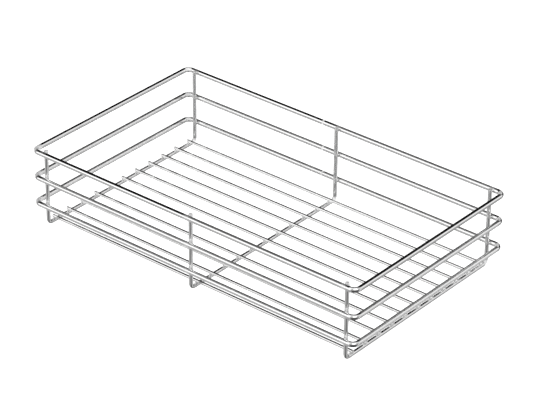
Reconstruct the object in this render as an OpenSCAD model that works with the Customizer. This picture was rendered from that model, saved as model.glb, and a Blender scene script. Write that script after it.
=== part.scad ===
// Pull-out cabinet basket made of round steel wire, spot welded and chrome plated.
// Three equal closed hoops make the sides, three U-shaped frames stand inside
// the hoops and cross under the floor, and straight floor wires lie on the frames.
//
// Axes: X runs along the long side, Y along the short side, Z is up.
// Origin: middle of the footprint, at the underside of the frames' cross wires.
// All lengths are in millimetres.

/* [Overall size] */
// Outside length of the hoops, along X
basket_l = 500; // [420:10:560]
// Outside width of the hoops, along Y
basket_w = 290; // [260:10:380]
// Height from the underside of the cross wires to the top of the rim wire
basket_h = 104; // [98:0.5:140]

/* [Hoops] */
// Wire diameter of the three hoops
hoop_d = 6.5; // [5:0.5:7]
// Centre-line radius of the hoops' bent corners
hoop_corner_r = 8; // [8:1:18]
// Height step from one hoop to the next, centre to centre
hoop_step = 36; // [30:1:38]
// Distance of each hoop's closing butt weld from the middle of the far long side
weld_x = 24; // [12:1:60]
// How far the flush-dressed butt weld is sunk into the wire
weld_sink = 0.12; // [0.05:0.01:0.2]

/* [Cross frames] */
// Wire diameter of the three U-shaped frames
frame_d = 5; // [4:0.5:6]
// Centre-line radius of the bends between leg and cross wire
frame_bend_r = 6; // [5:0.5:8]
// Distance from the outside of a hoop's short side to the end frame's centre line
frame_inset = 19; // [18:0.5:30]
// Bevel around each sheared wire end
end_bevel = 0.4; // [0.2:0.1:0.6]

/* [Floor wires] */
// Wire diameter of the floor wires
floor_d = 4; // [2.5:0.5:4]
// Centre distance between neighbouring floor wires
floor_pitch = 25; // [22:1:25]
// How far a floor wire's end passes the end frame's centre line
floor_overhang = 3; // [2.5:0.5:6]

/* [Hidden] */
$fn = 64;

hoop_r = hoop_d / 2;
frame_r = frame_d / 2;
floor_r = floor_d / 2;

// Hoop centre lines
hoop_x = basket_l / 2 - hoop_r;
hoop_y = basket_w / 2 - hoop_r;
hoop_z_top = basket_h - hoop_r;
hoop_z_middle = hoop_z_top - hoop_step;
hoop_z_bottom = hoop_z_top - 2 * hoop_step;

// Frame centre lines: each leg touches the inside of all three hoops
frame_x = basket_l / 2 - frame_inset;
frame_y = hoop_y - hoop_r - frame_r;
frame_z = frame_r;

// Floor wires rest on top of the cross wires, evenly about the middle
floor_rows = 11;
floor_z = frame_z + frame_r + floor_r;
floor_half = frame_x + floor_overhang;

// Width of the groove ring that the dressed butt weld leaves
weld_w = 1.2;

// Straight round wire along +Z with plain ends
module rod(r, l) {
    cylinder(h = l, r = r);
}

// Straight round wire along +Z, bevelled at its far end only
module rod_one_end(r, l, b) {
    cylinder(h = l - b, r = r);
    translate([0, 0, l - b]) cylinder(h = b, r1 = r, r2 = r - b);
}

// Straight round wire along +Z, bevelled at both sheared ends
module rod_two_ends(r, l, b) {
    cylinder(h = b, r1 = r - b, r2 = r);
    translate([0, 0, b]) cylinder(h = l - 2 * b, r = r);
    translate([0, 0, l - b]) cylinder(h = b, r1 = r, r2 = r - b);
}

// Quarter bend about +Z, from the +X side round to the +Y side
module quarter_bend(r, bend_r) {
    rotate_extrude(angle = 90) translate([bend_r, 0]) circle(r = r);
}

// Straight side of a hoop between two corners, along +X, centred on the origin
module hoop_side(half) {
    translate([-half, 0, 0]) rotate([0, 90, 0]) rod(hoop_r, 2 * half);
}

// The same side, parted by the groove of the dressed butt weld
module hoop_side_welded(half) {
    left_l = half - weld_x - weld_w / 2;
    right_l = half + weld_x - weld_w / 2;
    translate([-half, 0, 0]) rotate([0, 90, 0]) rod(hoop_r, left_l);
    translate([-weld_x - weld_w / 2, 0, 0]) rotate([0, 90, 0]) rod(hoop_r - weld_sink, weld_w);
    translate([-weld_x + weld_w / 2, 0, 0]) rotate([0, 90, 0]) rod(hoop_r, right_l);
}

// One closed hoop, bent from a single wire and butt welded on its far long side
module hoop(z) {
    cx = hoop_x - hoop_corner_r;
    cy = hoop_y - hoop_corner_r;
    translate([0, 0, z]) {
        translate([0, -hoop_y, 0]) hoop_side(cx);
        translate([0, hoop_y, 0]) hoop_side_welded(cx);
        translate([-hoop_x, 0, 0]) rotate([0, 0, 90]) hoop_side(cy);
        translate([hoop_x, 0, 0]) rotate([0, 0, 90]) hoop_side(cy);
        translate([cx, cy, 0]) quarter_bend(hoop_r, hoop_corner_r);
        translate([-cx, cy, 0]) rotate([0, 0, 90]) quarter_bend(hoop_r, hoop_corner_r);
        translate([-cx, -cy, 0]) rotate([0, 0, 180]) quarter_bend(hoop_r, hoop_corner_r);
        translate([cx, -cy, 0]) rotate([0, 0, 270]) quarter_bend(hoop_r, hoop_corner_r);
    }
}

// One U-shaped frame: two legs inside the hoops and the cross wire under the floor
module cross_frame(x) {
    flat = frame_y - frame_bend_r;
    leg = basket_h - frame_z - frame_bend_r;
    translate([x, 0, frame_z]) {
        translate([0, -flat, 0]) rotate([-90, 0, 0]) rod(frame_r, 2 * flat);
        for (s = [-1, 1])
            translate([0, s * frame_y, frame_bend_r]) rod_one_end(frame_r, leg, end_bevel);
        translate([0, flat, frame_bend_r]) rotate([90, 0, 90]) rotate([0, 0, 270]) quarter_bend(frame_r, frame_bend_r);
        translate([0, -flat, frame_bend_r]) rotate([90, 0, 90]) rotate([0, 0, 180]) quarter_bend(frame_r, frame_bend_r);
    }
}

// One straight floor wire, counted from the near long side
module floor_wire(i) {
    y = (i - (floor_rows + 1) / 2) * floor_pitch;
    translate([-floor_half, y, floor_z]) rotate([0, 90, 0])
        rod_two_ends(floor_r, 2 * floor_half, end_bevel);
}

module rim_hoop_top() { color([0.86, 0.87, 0.88]) hoop(hoop_z_top); }
module side_hoop_middle() { color([0.84, 0.85, 0.87]) hoop(hoop_z_middle); }
module side_hoop_bottom() { color([0.82, 0.83, 0.85]) hoop(hoop_z_bottom); }

module cross_frame_left() { color([0.68, 0.69, 0.71]) cross_frame(-frame_x); }
module cross_frame_middle() { color([0.68, 0.69, 0.71]) cross_frame(0); }
module cross_frame_right() { color([0.68, 0.69, 0.71]) cross_frame(frame_x); }

module floor_wire_01() { color([0.76, 0.77, 0.79]) floor_wire(1); }
module floor_wire_02() { color([0.76, 0.77, 0.79]) floor_wire(2); }
module floor_wire_03() { color([0.76, 0.77, 0.79]) floor_wire(3); }
module floor_wire_04() { color([0.76, 0.77, 0.79]) floor_wire(4); }
module floor_wire_05() { color([0.76, 0.77, 0.79]) floor_wire(5); }
module floor_wire_06() { color([0.76, 0.77, 0.79]) floor_wire(6); }
module floor_wire_07() { color([0.76, 0.77, 0.79]) floor_wire(7); }
module floor_wire_08() { color([0.76, 0.77, 0.79]) floor_wire(8); }
module floor_wire_09() { color([0.76, 0.77, 0.79]) floor_wire(9); }
module floor_wire_10() { color([0.76, 0.77, 0.79]) floor_wire(10); }
module floor_wire_11() { color([0.76, 0.77, 0.79]) floor_wire(11); }

rim_hoop_top();
side_hoop_middle();
side_hoop_bottom();
cross_frame_left();
cross_frame_middle();
cross_frame_right();
floor_wire_01();
floor_wire_02();
floor_wire_03();
floor_wire_04();
floor_wire_05();
floor_wire_06();
floor_wire_07();
floor_wire_08();
floor_wire_09();
floor_wire_10();
floor_wire_11();
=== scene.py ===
"""Looks of the wire basket: swept wires with worked ends and bends, weld beads, bright plate, studio and camera."""

import math

import bpy
from mathutils import Matrix, Vector, noise


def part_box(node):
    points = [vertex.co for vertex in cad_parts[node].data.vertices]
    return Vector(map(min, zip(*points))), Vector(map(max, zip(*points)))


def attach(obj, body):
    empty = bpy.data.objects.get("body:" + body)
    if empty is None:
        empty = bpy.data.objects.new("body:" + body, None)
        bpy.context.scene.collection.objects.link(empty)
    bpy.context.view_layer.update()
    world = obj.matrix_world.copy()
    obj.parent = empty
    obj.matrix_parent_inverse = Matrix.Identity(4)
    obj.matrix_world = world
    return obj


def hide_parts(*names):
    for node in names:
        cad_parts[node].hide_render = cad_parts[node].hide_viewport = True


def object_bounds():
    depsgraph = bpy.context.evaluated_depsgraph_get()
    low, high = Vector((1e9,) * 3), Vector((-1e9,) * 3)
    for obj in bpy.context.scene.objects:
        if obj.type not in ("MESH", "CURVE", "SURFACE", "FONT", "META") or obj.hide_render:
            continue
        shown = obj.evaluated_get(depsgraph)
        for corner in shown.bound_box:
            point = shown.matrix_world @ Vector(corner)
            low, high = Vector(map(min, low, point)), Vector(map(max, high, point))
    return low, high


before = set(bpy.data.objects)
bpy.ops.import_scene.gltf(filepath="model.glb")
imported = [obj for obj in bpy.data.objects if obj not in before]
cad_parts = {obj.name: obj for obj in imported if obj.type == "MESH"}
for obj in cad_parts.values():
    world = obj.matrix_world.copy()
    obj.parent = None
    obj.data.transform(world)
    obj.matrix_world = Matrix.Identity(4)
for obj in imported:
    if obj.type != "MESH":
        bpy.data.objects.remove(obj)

cad_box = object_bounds()

# ----------------------------------------------------------------------------
# Construction read from the frame, in metres
# ----------------------------------------------------------------------------

HOOPS = ["rim_hoop_top", "side_hoop_middle", "side_hoop_bottom"]
FRAMES = ["cross_frame_left", "cross_frame_middle", "cross_frame_right"]
FLOORS = ["floor_wire_%02d" % i for i in range(1, 12)]

box = {n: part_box(n) for n in HOOPS + FRAMES + FLOORS}


def size(n, axis):
    return box[n][1][axis] - box[n][0][axis]


def middle(n, axis):
    return (box[n][1][axis] + box[n][0][axis]) / 2


MM = 0.001
HOOP_R = 3.25 * MM
HOOP_CORNER = 8.0 * MM
FRAME_R = 2.5 * MM
FRAME_BEND = 6.0 * MM
FLOOR_R = 2.0 * MM
BUTT_X = -24.0 * MM
BUTT_SINK = 0.12 * MM
END_ROUND = 0.5 * MM

X, Y, Z = Vector((1, 0, 0)), Vector((0, 1, 0)), Vector((0, 0, 1))
Q = math.pi / 2

HOOP_Z = [middle(n, 2) for n in HOOPS]
FRAME_X = [middle(n, 0) for n in FRAMES]
FLOOR_Y = [middle(n, 1) for n in FLOORS]
LEG_Y = size(FRAMES[0], 1) / 2 - FRAME_R
CROSS_TOP = 2 * FRAME_R


# ----------------------------------------------------------------------------
# Paths: stations of (point, direction, share of full bend)
# ----------------------------------------------------------------------------


def straight(p, q, step, spots=()):
    """Stations from p to q, closer together about each spot (distance from p, half width, finer step)."""
    length = (q - p).length
    cuts = {length * k / max(1, math.ceil(length / step)) for k in range(max(1, math.ceil(length / step)) + 1)}
    for at, half, fine in spots:
        m = math.ceil(2 * half / fine)
        cuts |= {at - half + 2 * half * k / m for k in range(m + 1)}
    kept = []
    for d in sorted(c for c in cuts if 0 <= c <= length):
        if not kept or d - kept[-1] > 0.05 * MM:
            kept.append(d)
    kept[-1] = length
    t = (q - p).normalized()
    return [(p.lerp(q, d / length), t, 0.0) for d in kept]


def bend(centre, a, b, r, t0, t1, n):
    """Stations round centre, in the plane of a and b, from angle t0 to t1."""
    out = []
    for k in range(n + 1):
        s = k / n
        t = t0 + (t1 - t0) * s
        out.append((
            centre + (a * math.cos(t) + b * math.sin(t)) * r,
            (b * math.cos(t) - a * math.sin(t)) * (1 if t1 > t0 else -1),
            math.sin(math.pi * s) ** 0.5 if 0 < k < n else 0.0,
        ))
    return out


def joined(*parts):
    out = []
    for part in parts:
        for s in part:
            if not out or (s[0] - out[-1][0]).length > 0.02 * MM:
                out.append(s)
    return out


# ----------------------------------------------------------------------------
# Meshes: points carry "grain", a place along and across their own wire, and
# "frost", how dull the plate is there
# ----------------------------------------------------------------------------


class Shell:
    def __init__(self):
        self.points, self.faces, self.grain, self.frost = [], [], [], []

    def add(self, p, grain, frost):
        self.points.append(tuple(p))
        self.grain.append(tuple(grain))
        self.frost.append(min(1.0, max(0.0, frost)))
        return len(self.points) - 1

    def shade_band(self, a, b):
        """Quads between two rings of equal count, b ahead of a."""
        n = len(a)
        for k in range(n):
            m = (k + 1) % n
            self.faces.append((a[k], a[m], b[m], b[k]))

    def build(self, name, material):
        me = bpy.data.meshes.new(name)
        me.from_pydata(self.points, [], self.faces)
        me.polygons.foreach_set("use_smooth", [True] * len(me.polygons))
        g = me.attributes.new("grain", "FLOAT_VECTOR", "POINT")
        g.data.foreach_set("vector", [c for v in self.grain for c in v])
        f = me.attributes.new("frost", "FLOAT", "POINT")
        f.data.foreach_set("value", self.frost)
        me.materials.append(material)
        me.validate()
        me.update()
        ob = bpy.data.objects.new(name, me)
        bpy.context.scene.collection.objects.link(ob)
        return ob


def swept(stations, normal, radius, closed, sides, frost, sink=None, seed=0.0, cut=0.8):
    """A round wire along stations. normal is square to the plane of its bends, which turn towards normal x direction.
    The outside of a bend is drawn a little flat, and its inside is gathered in fine creases."""
    sh = Shell()
    run = 0.0
    rings = []

    def ring(p, t, amount, r, s, extra, dent=0.0):
        side = normal.cross(t).normalized()
        ids = []
        for k in range(sides):
            a = 2 * math.pi * k / sides
            c, w = math.cos(a), math.sin(a)
            rr = r - sink(p) if sink else r
            if amount:
                crease = math.sin(s / (0.62 * MM)) * 0.5 + 0.5
                rr -= r * amount * (0.045 * max(0.0, -c) ** 2 + 0.05 * max(0.0, c) ** 3 * crease)
            q = p + (side * c + normal * w) * rr + t * dent * (0.5 + 0.5 * math.cos(a - seed * 2.4))
            ids.append(sh.add(q, (s, rr * c, rr * w), frost(q, t, amount, side * c + normal * w) + extra))
        return ids

    if not closed:
        # sheared end: a faint dish, a rounded rim, one side pulled down by the blade
        p, t, _ = stations[0]
        tip = sh.add(p + t * 0.14 * MM, (-0.4 * MM, 0, 0), cut)
        for share, off in ((0.25, 0.13), (0.55, 0.10), (0.84, 0.06)):
            rings.append(ring(p + t * off * MM, t, 0, (radius - END_ROUND) * share, -0.3 * MM, cut, 0.10 * MM))
        for k in range(5):
            a = Q * k / 5
            rings.append(ring(p + t * END_ROUND * (1 - math.cos(a)), t, 0, radius - END_ROUND * (1 - math.sin(a)), -0.2 * MM, 0.6 * cut * (1 - a / Q), 0.10 * MM * (1 - k / 5)))
        for k in range(len(rings[0])):
            m = (k + 1) % len(rings[0])
            sh.faces.append((tip, rings[0][m], rings[0][k]))

    body = list(stations)
    if not closed:
        body = [s for s in body if (s[0] - stations[0][0]).length > END_ROUND and (s[0] - stations[-1][0]).length > END_ROUND]
        body = [(stations[0][0] + stations[0][1] * END_ROUND, stations[0][1], 0.0)] + body
        body += [(stations[-1][0] - stations[-1][1] * END_ROUND, stations[-1][1], 0.0)]
    last = None
    for p, t, amount in body:
        if last is not None:
            run += (p - last).length
        last = p
        rings.append(ring(p, t, amount, radius, run, 0.0))

    if not closed:
        p, t, _ = stations[-1]
        for k in range(4, -1, -1):
            a = Q * k / 5
            rings.append(ring(p - t * END_ROUND * (1 - math.cos(a)), t, 0, radius - END_ROUND * (1 - math.sin(a)), run + 0.2 * MM, 0.6 * cut * (1 - a / Q), -0.10 * MM * (1 - k / 5)))
        for share, off in ((0.84, 0.06), (0.55, 0.10), (0.25, 0.13)):
            rings.append(ring(p - t * off * MM, t, 0, (radius - END_ROUND) * share, run + 0.3 * MM, cut, -0.10 * MM))
        tip = sh.add(p - t * 0.14 * MM, (run + 0.4 * MM, 0, 0), cut)
        for k in range(len(rings[-1])):
            m = (k + 1) % len(rings[-1])
            sh.faces.append((tip, rings[-1][k], rings[-1][m]))

    for a, b in zip(rings, rings[1:]):
        sh.shade_band(a, b)
    if closed:
        sh.shade_band(rings[-1], rings[0])
    return sh


def near(d, half, soft):
    """1 within half, falling to 0 over soft."""
    t = min(1.0, max(0.0, (half + soft - abs(d)) / soft))
    return t * t * (3 - 2 * t)


def rise(x, a, b):
    """0 up to a, 1 from b on."""
    t = min(1.0, max(0.0, (x - a) / (b - a)))
    return t * t * (3 - 2 * t)


def mottle(p, scale, seed):
    return noise.noise(Vector(p) * scale + Vector((seed * 3.1, seed * 5.7, seed * 1.9)))


# ----------------------------------------------------------------------------
# Plated steel
# ----------------------------------------------------------------------------


def plate(name, tone, rough, seed, peel):
    mat = bpy.data.materials.new(name)
    mat.use_nodes = True
    nt = mat.node_tree
    nt.nodes.clear()

    def node(kind, **inputs):
        n = nt.nodes.new(kind)
        for key, val in inputs.items():
            key = key.replace("_", " ")
            if hasattr(val, "is_output"):
                nt.links.new(val, n.inputs[key])
            else:
                n.inputs[key].default_value = val
        return n

    def ramp(value, a, b, lo, hi):
        n = node("ShaderNodeMapRange", Value=value)
        n.inputs["From Min"].default_value = a
        n.inputs["From Max"].default_value = b
        n.inputs["To Min"].default_value = lo
        n.inputs["To Max"].default_value = hi
        return n.outputs["Result"]

    def maths(op, a, b, clamp=False):
        n = nt.nodes.new("ShaderNodeMath")
        n.operation = op
        n.use_clamp = clamp
        for i, v in enumerate((a, b)):
            if hasattr(v, "is_output"):
                nt.links.new(v, n.inputs[i])
            else:
                n.inputs[i].default_value = v
        return n.outputs[0]

    out = nt.nodes.new("ShaderNodeOutputMaterial")
    bsdf = nt.nodes.new("ShaderNodeBsdfPrincipled")
    nt.links.new(bsdf.outputs["BSDF"], out.inputs["Surface"])

    grain = nt.nodes.new("ShaderNodeAttribute")
    grain.attribute_name = "grain"
    frost = nt.nodes.new("ShaderNodeAttribute")
    frost.attribute_name = "frost"
    place = nt.nodes.new("ShaderNodeTexCoord")

    def spread(source, scale, detail, rough_noise=0.5):
        m = node("ShaderNodeMapping", Vector=source)
        m.inputs["Location"].default_value = (seed * 0.37, seed * 0.53, seed * 0.71)
        m.inputs["Scale"].default_value = scale
        n = node("ShaderNodeTexNoise", Vector=m.outputs["Vector"])
        n.inputs["Scale"].default_value = 1.0
        n.inputs["Detail"].default_value = detail
        n.inputs["Roughness"].default_value = rough_noise
        return n.outputs["Fac"]

    # fine lines left by the drawing die, running along the wire under the plate
    drawn = spread(grain.outputs["Vector"], (14.0, 2600.0, 2600.0), 3.0)
    # slow waviness of the plate
    wavy = spread(place.outputs["Object"], (330.0, 330.0, 330.0), 2.0)
    # cloudy bloom, and specks where the plate has pitted
    cloud = spread(place.outputs["Object"], (38.0, 38.0, 38.0), 4.0, 0.6)
    specks = spread(place.outputs["Object"], (1500.0, 1500.0, 1500.0), 1.0)
    pits = ramp(specks, 0.70, 0.78, 0.0, 1.0)
    # frosted plate over bends, welds and cuts, broken up at its edge
    broken = maths("MULTIPLY", frost.outputs["Fac"], ramp(wavy, 0.25, 0.75, 0.75, 1.25), True)
    dull = maths("ADD", broken, maths("MULTIPLY", pits, 0.25), True)

    tint = nt.nodes.new("ShaderNodeValToRGB")
    tint.color_ramp.elements[0].position = 0.30
    tint.color_ramp.elements[0].color = (tone * 0.955, tone * 0.955, tone * 0.955, 1)
    tint.color_ramp.elements[1].position = 0.62
    tint.color_ramp.elements[1].color = (tone, tone, tone, 1)
    nt.links.new(cloud, tint.inputs["Fac"])
    nt.links.new(tint.outputs["Color"], bsdf.inputs["Base Color"])

    nt.links.new(maths("SUBTRACT", 1.0, maths("MULTIPLY", dull, 0.92), True), bsdf.inputs["Metallic"])
    base_rough = maths("ADD", ramp(cloud, 0.3, 0.7, rough * 0.7, rough * 1.5), ramp(drawn, 0.35, 0.65, -0.012, 0.018))
    nt.links.new(maths("ADD", base_rough, maths("MULTIPLY", dull, 0.32), True), bsdf.inputs["Roughness"])

    height = maths("ADD", maths("MULTIPLY", drawn, 0.10), maths("MULTIPLY", wavy, peel))
    height = maths("SUBTRACT", height, maths("MULTIPLY", pits, 0.25))
    bump = node("ShaderNodeBump", Height=height)
    bump.inputs["Strength"].default_value = 0.5
    bump.inputs["Distance"].default_value = 0.06 * MM
    nt.links.new(bump.outputs["Normal"], bsdf.inputs["Normal"])
    return mat


MATS = {
    "hoop_wire": plate("plate_hoops", 0.95, 0.045, 1.0, 0.9),
    "frame_wire": plate("plate_frames", 0.94, 0.055, 2.0, 0.9),
    "floor_wire": plate("plate_floor", 0.94, 0.05, 3.0, 0.8),
    "beads": plate("plate_beads", 0.93, 0.12, 4.0, 4.0),
}


# ----------------------------------------------------------------------------
# Hoops
# ----------------------------------------------------------------------------

for row, node in enumerate(HOOPS):
    hx = size(node, 0) / 2 - HOOP_R
    hy = size(node, 1) / 2 - HOOP_R
    z = HOOP_Z[row]
    r = HOOP_CORNER
    cx, cy = hx - r, hy - r
    # distances of the three legs along a long side, from its left end
    legs = [(x + cx, 6 * MM, 1.2 * MM) for x in FRAME_X]
    back_left = [(BUTT_X + cx - d, h, f) for d, h, f in legs if BUTT_X + cx - d > 0] + [(0, 2.5 * MM, 0.2 * MM)]
    back_right = [(2 * cx - d, h, f) for d, h, f in legs if 2 * cx - d < cx - BUTT_X] + [(cx - BUTT_X, 2.5 * MM, 0.2 * MM)]
    stations = joined(
        straight(Vector((BUTT_X, hy, z)), Vector((-cx, hy, z)), 6 * MM, back_left),
        bend(Vector((-cx, cy, z)), X, Y, r, Q, 2 * Q, 22),
        straight(Vector((-hx, cy, z)), Vector((-hx, -cy, z)), 6 * MM),
        bend(Vector((-cx, -cy, z)), X, Y, r, 2 * Q, 3 * Q, 22),
        straight(Vector((-cx, -hy, z)), Vector((cx, -hy, z)), 6 * MM, legs),
        bend(Vector((cx, -cy, z)), X, Y, r, -Q, 0, 22),
        straight(Vector((hx, -cy, z)), Vector((hx, cy, z)), 6 * MM),
        bend(Vector((cx, cy, z)), X, Y, r, 0, Q, 22),
        straight(Vector((cx, hy, z)), Vector((BUTT_X, hy, z)), 6 * MM, back_right),
    )[:-1]

    def frost(q, t, amount, n, row=row, cx=cx, cy=cy):
        f = 0.0
        # bends: the plate is dull where the rolls gripped the wire
        u, v = abs(q.x) - cx, abs(q.y) - cy
        if u > -1.2 * MM and v > -1.2 * MM:
            grip = rise(u, -1.2 * MM, 0.0) * rise(v, -1.2 * MM, 0.0)
            toward = (n.x * (1 if q.x > 0 else -1) + n.y * (1 if q.y > 0 else -1)) / math.sqrt(2)
            turn = math.atan2(max(v, 0.0), max(u, 1e-6))
            if q.x < 0 and q.y < 0:
                f = 0.95 * grip * (1 - 0.9 * rise(turn, 1.0, 1.5))
            elif q.x < 0:
                f = 0.95 * near(turn - 0.8, 0.5, 0.25) * (1 - rise(toward, -0.3, 0.05)) * rise(n.z, -0.1, 0.2)
            elif q.y > 0:
                f = 0.95 * near(turn - 0.6, 0.4, 0.25) * (1 - rise(toward, 0.25, 0.6)) * rise(n.z, -0.25, 0.15)
        elif abs(t.x) > 0.9:
            if row == 0:
                f = 0.17 * near(q.x - 115 * MM, 112 * MM, 16 * MM)
            else:
                f = 0.19 * near(q.x, 226 * MM, 6 * MM)
            f *= rise(n.z, 0.1, 0.5)
            for x in FRAME_X:
                f += 0.25 * near(q.x - x, 2.2 * MM, 2.5 * MM) * (0.6 + 0.5 * mottle(q, 900, row))
            if q.y > 0:
                f += 0.95 * near(q.x - BUTT_X, 0.9 * MM, 0.5 * MM)
        else:
            f = (0.0, 0.10, 0.14)[row] * (1.0 if q.x < 0 else 1.9)
        return f + 0.02 * mottle(q, 120, row)

    def sink(p):
        if p.y < 0:
            return 0.0
        d = (p.x - BUTT_X) / (0.6 * MM)
        return BUTT_SINK * math.exp(-d * d * 1.4) * (0.8 + 0.3 * math.sin(p.z / (0.7 * MM)))

    sh = swept(stations, Z, HOOP_R, True, 48, frost, sink=sink)
    piece = sh.build(node + "_wire", MATS["hoop_wire"])
    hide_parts(node)
    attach(piece, "root")

# ----------------------------------------------------------------------------
# Cross frames
# ----------------------------------------------------------------------------

for number, node in enumerate(FRAMES):
    x = FRAME_X[number]
    fy = LEG_Y
    z0 = box[node][0].z + FRAME_R
    top = box[node][1].z
    r = FRAME_BEND
    hoops = [(top - hz, 6 * MM, 1.2 * MM) for hz in HOOP_Z]
    hoops_up = [(hz - z0 - r, 6 * MM, 1.2 * MM) for hz in HOOP_Z]
    rows = [(y + fy - r, 4 * MM, 1.2 * MM) for y in FLOOR_Y]
    stations = joined(
        straight(Vector((x, -fy, top)), Vector((x, -fy, z0 + r)), 6 * MM, hoops),
        bend(Vector((x, -fy + r, z0 + r)), Y, Z, r, -2 * Q, -Q, 18),
        straight(Vector((x, -fy + r, z0)), Vector((x, fy - r, z0)), 6 * MM, rows),
        bend(Vector((x, fy - r, z0 + r)), Y, Z, r, -Q, 0, 18),
        straight(Vector((x, fy, z0 + r)), Vector((x, fy, top)), 6 * MM, hoops_up),
    )

    def frost(q, t, amount, n, number=number, top=top):
        f = (0.10 if q.y < 0 else 0.75) * amount
        if abs(t.z) > 0.9:
            # dull just above each weld, and up to the sheared top
            for hz in HOOP_Z[1:]:
                f += (0.75 if q.y < 0 else 0.30) * near(q.z - hz - 3.6 * MM, 1.4 * MM, 1.6 * MM) * (0.8 + 0.3 * mottle(q, 700, number))
            f += (0.75 if q.y < 0 else 0.15) * rise(q.z, top - 4.5 * MM, top - 2.5 * MM)
        elif abs(t.y) > 0.9:
            f += (0.0 if number == 2 else 0.18) * rise(-n.z, -0.1, 0.3)
            for y in FLOOR_Y:
                f += (0.08, 0.22, 0.12)[number] * near(q.y - y, 1.0 * MM, 1.8 * MM) * (0.8 + 0.5 * mottle(q, 800, number))
        return f + 0.02 * mottle(q, 120, number)

    sh = swept(stations, X, FRAME_R, False, 40, frost, seed=number, cut=0.6)
    piece = sh.build(node + "_wire", MATS["frame_wire"])
    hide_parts(node)
    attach(piece, "root")

# ----------------------------------------------------------------------------
# Floor wires
# ----------------------------------------------------------------------------

for number, node in enumerate(FLOORS):
    y, z = middle(node, 1), middle(node, 2)
    x0, x1 = box[node][0].x, box[node][1].x
    spots = [(x - x0, 5 * MM, 1.0 * MM) for x in FRAME_X]
    stations = straight(Vector((x0, y, z)), Vector((x1, y, z)), 8 * MM, spots)

    def frost(q, t, amount, n, number=number):
        # the flanks that lay on the plating rack are duller than the top
        f = (0.40 - 0.15 * q.x / (230 * MM)) * rise(abs(n.y), 0.80, 0.95) + 0.30 * rise(-n.z, 0.3, 0.7)
        f *= 0.3 if number == 0 else 1.0
        for x in FRAME_X[1:]:
            f += 0.12 * near(q.x - x, 1.6 * MM, 1.6 * MM) * (0.6 + 0.6 * mottle(q, 900, number))
        return f + 0.03 * mottle(q, 60, number)

    sh = swept(stations, Z, FLOOR_R, False, 32, frost, seed=number * 0.7, cut=0.25)
    piece = sh.build(node + "_wire", MATS["floor_wire"])
    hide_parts(node)
    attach(piece, "root")

# ----------------------------------------------------------------------------
# Weld beads: the metal pressed out round each crossing
# ----------------------------------------------------------------------------


def bead(sh, centre, out, a, ra, b, rb, seed):
    """A closed ring in the notch between two crossed wires that touch at centre.
    Wire A lies along a on the side of -out, wire B along b on the side of out."""
    turns, steps = 28, 7
    gap = (0.72 + 0.16 * mottle((seed, 0.3, 0.7), 1.0, seed)) * MM
    loops = []
    for k in range(turns):
        th = 2 * math.pi * k / turns
        c, s = math.cos(th), math.sin(th)
        way = a * c + b * s
        lump = noise.noise(Vector((c * 1.3, s * 1.3, seed * 2.17)))
        fine = noise.noise(Vector((c * 4.0, s * 4.0, seed * 1.31 + 9)))
        rho = math.sqrt(gap / (s * s / (2 * ra) + c * c / (2 * rb))) * (1 + 0.13 * lump)
        rho = min(rho, 0.93 * ra, 0.93 * rb) if max(abs(c), abs(s)) > 0.9 else rho
        da = min(abs(rho * s), 0.97 * ra)
        db = min(abs(rho * c), 0.97 * rb)
        fall_a = ra - math.sqrt(ra * ra - da * da)
        fall_b = rb - math.sqrt(rb * rb - db * db)
        low, high = -fall_a - 0.14 * MM, fall_b + 0.14 * MM
        puff = (0.22 + 0.20 * lump + 0.08 * fine) * MM
        loop = []
        for j in range(steps):
            t = j / (steps - 1)
            rr = rho + puff * math.sin(math.pi * t)
            h = low + (high - low) * t
            loop.append(sh.add(centre + way * rr + out * h, (rho * th, rr, h), 0.08 + 0.15 * lump))
        for share, h in ((0.35, 0.3 * MM), (0.35, -0.3 * MM)):
            loop.append(sh.add(centre + way * rho * share + out * h, (rho * th, rho * share, h), 0.1))
        loops.append(loop)
    flip = a.cross(b).dot(out) < 0
    for k in range(turns):
        p, q = loops[k], loops[(k + 1) % turns]
        n = len(p)
        for j in range(n):
            i = (j + 1) % n
            f = (p[j], q[j], q[i], p[i])
            sh.faces.append(f[::-1] if flip else f)


for number, node in enumerate(FRAMES):
    x = FRAME_X[number]
    sh = Shell()
    for row, hz in enumerate(HOOP_Z):
        for s in (-1, 1):
            bead(sh, Vector((x, s * (LEG_Y + FRAME_R), hz)), Y * s, Z, FRAME_R, X, HOOP_R, number * 20 + row * 2 + s * 0.5)
    for i, y in enumerate(FLOOR_Y):
        bead(sh, Vector((x, y, box[node][0].z + CROSS_TOP)), Z, Y, FRAME_R, X, FLOOR_R, number * 20 + 7 + i)
    piece = sh.build("weld_beads_" + node.rsplit("_", 1)[1], MATS["beads"])
    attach(piece, "root")

# ----------------------------------------------------------------------------
# Studio: pale floor, soft surround with one dark panel behind, and painted shade in the surround below the horizon
# ----------------------------------------------------------------------------

bpy.ops.mesh.primitive_plane_add(size=30.0, location=(0, 0, cad_box[0][2] - 0.0002))
floor = bpy.context.object
floor.name = "studio_floor"
fm = bpy.data.materials.new("studio_floor_paint")
fm.use_nodes = True
fb = fm.node_tree.nodes["Principled BSDF"]
fb.inputs["Base Color"].default_value = (0.85, 0.85, 0.85, 1)
fb.inputs["Roughness"].default_value = 0.9
fb.inputs["Specular IOR Level"].default_value = 0.0
fb.inputs["Emission Color"].default_value = (1, 1, 1, 1)
fb.inputs["Emission Strength"].default_value = 0.9
floor.data.materials.append(fm)
# the floor is hidden from reflections; in its place the wires reflect the surround below the horizon, with its
# painted shade
floor.visible_glossy = False

world = bpy.data.worlds.new("surround")
bpy.context.scene.world = world
world.use_nodes = True
wt = world.node_tree
wt.nodes.clear()
wo = wt.nodes.new("ShaderNodeOutputWorld")
bg = wt.nodes.new("ShaderNodeBackground")
wt.links.new(bg.outputs["Background"], wo.inputs["Surface"])
tc = wt.nodes.new("ShaderNodeTexCoord")
sep = wt.nodes.new("ShaderNodeSeparateXYZ")
wt.links.new(tc.outputs["Generated"], sep.inputs["Vector"])


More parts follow.
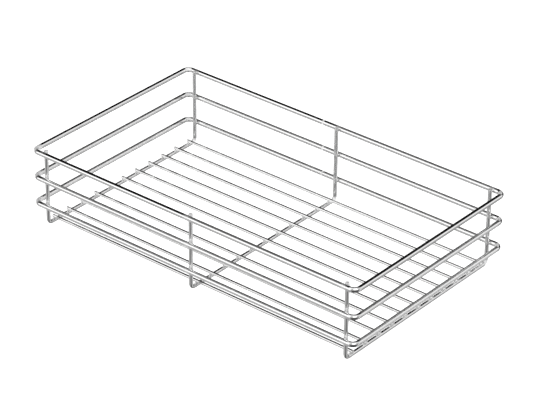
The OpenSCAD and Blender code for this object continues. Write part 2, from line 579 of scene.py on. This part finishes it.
def value(op, a, b=None, c=None):
    """One Math node of the surround; numbers and sockets both go in."""
    n = wt.nodes.new("ShaderNodeMath")
    n.operation = op
    for i, v in enumerate((a, b, c)):
        if v is None:
            continue
        if isinstance(v, (int, float)):
            n.inputs[i].default_value = v
        else:
            wt.links.new(v, n.inputs[i])
    return n.outputs[0]


def step(x, at, soft):
    """0 below, 1 above, over a soft edge."""
    n = wt.nodes.new("ShaderNodeMapRange")
    n.interpolation_type = "SMOOTHSTEP"
    n.inputs["From Min"].default_value = at - soft
    n.inputs["From Max"].default_value = at + soft
    wt.links.new(x, n.inputs["Value"])
    return n.outputs["Result"]


def mix(t, a, b):
    """a where t is 0, b where t is 1."""
    return value("ADD", value("MULTIPLY", value("SUBTRACT", 1.0, t), a), value("MULTIPLY", t, b))


DEG = 57.29578
elev = value("MULTIPLY", value("ARCSINE", sep.outputs["Z"]), DEG)
azim = value("MULTIPLY", value("ARCTAN2", sep.outputs["Y"], sep.outputs["X"]), DEG)


def sector(centre, half, soft):
    """1 within half of centre, going round."""
    d = value("ABSOLUTE", value("WRAP", value("SUBTRACT", azim, centre), 180.0, -180.0))
    return value("SUBTRACT", 1.0, step(d, half, soft))


# walls and lamps above the horizon
above = mix(sector(-117.0, 28.0, 8.0), 0.5, 1.25)
above = mix(sector(59.0, 35.0, 8.0), above, 0.72)
above = mix(sector(69.0, 24.0, 8.0), above, 0.92)
above = mix(step(elev, 63.0, 4.0), above, 0.88)
# a soft lamp over the front right, which lights the dull plate
lamp = value("MULTIPLY", sector(-30.0, 26.0, 4.0), step(elev, 28.0, 3.0))
lamp = value("MULTIPLY", lamp, value("SUBTRACT", 1.0, step(elev, 62.0, 3.0)))
above = mix(lamp, above, 2.2)
# the surround below the horizon, which the wires reflect in place of the floor: painted shade of the floor, grey
# behind and to the sides, near black toward the front right and straight down
below = mix(sector(89.0, 59.0, 12.0), 0.85, mix(step(elev, -35.0, 3.0), 0.24, 0.38))
below = mix(sector(-140.0, 50.0, 14.0), below, 0.43)
# painted shade toward the front right: near black, with a dark grey band between 22 and 39 degrees down
shade_band = value("MULTIPLY", step(elev, -39.0, 3.0), value("SUBTRACT", 1.0, step(elev, -22.0, 3.0)))
below = mix(sector(-38.0, 49.0, 13.0), below, mix(shade_band, 0.02, 0.18))
# painted shade straight down: near black
below = mix(value("SUBTRACT", 1.0, step(elev, -63.0, 4.0)), below, 0.02)
light = mix(step(elev, 2.0, 4.0), below, above)
# a black panel stands behind and to the left
panel = value("MULTIPLY", sector(140.0, 76.0, 6.0), step(elev, -25.0, 3.0))
panel = value("MULTIPLY", panel, value("SUBTRACT", 1.0, step(elev, 62.0, 3.0)))
light = mix(panel, light, 0.005)
wt.links.new(light, bg.inputs["Strength"])
bg.inputs["Color"].default_value = (1, 1, 1, 1)

# ----------------------------------------------------------------------------
# Camera
# ----------------------------------------------------------------------------

AZ, EL, ROLL = 39.2772, 30.3825, 0.6347
FOCAL_PX = 2645.42
EYE = Vector((1.74330, -2.11878, 1.65678))

a, e, r = math.radians(AZ), math.radians(EL), math.radians(ROLL)
back = Vector((math.sin(a) * math.cos(e), -math.cos(a) * math.cos(e), math.sin(e)))
right = (-back).cross(Z).normalized()
up = right.cross(-back)
right_r = right * math.cos(r) + up * math.sin(r)
up_r = up * math.cos(r) - right * math.sin(r)
cam_data = bpy.data.cameras.new("camera")
cam_data.sensor_fit = "HORIZONTAL"
cam_data.sensor_width = 36.0
cam_data.lens = FOCAL_PX * 36.0 / 544.0
cam_data.clip_start = 0.1
cam_data.clip_end = 60.0
cam_data.dof.use_dof = False
cam = bpy.data.objects.new("camera", cam_data)
bpy.context.scene.collection.objects.link(cam)
cam.matrix_world = Matrix((
    (right_r.x, up_r.x, back.x, EYE.x),
    (right_r.y, up_r.y, back.y, EYE.y),
    (right_r.z, up_r.z, back.z, EYE.z),
    (0, 0, 0, 1),
))
bpy.context.scene.camera = cam

scene = bpy.context.scene
scene.view_settings.view_transform = "Standard"
scene.view_settings.look = "None"
scene.view_settings.exposure = 0.0
scene.view_settings.gamma = 1.0
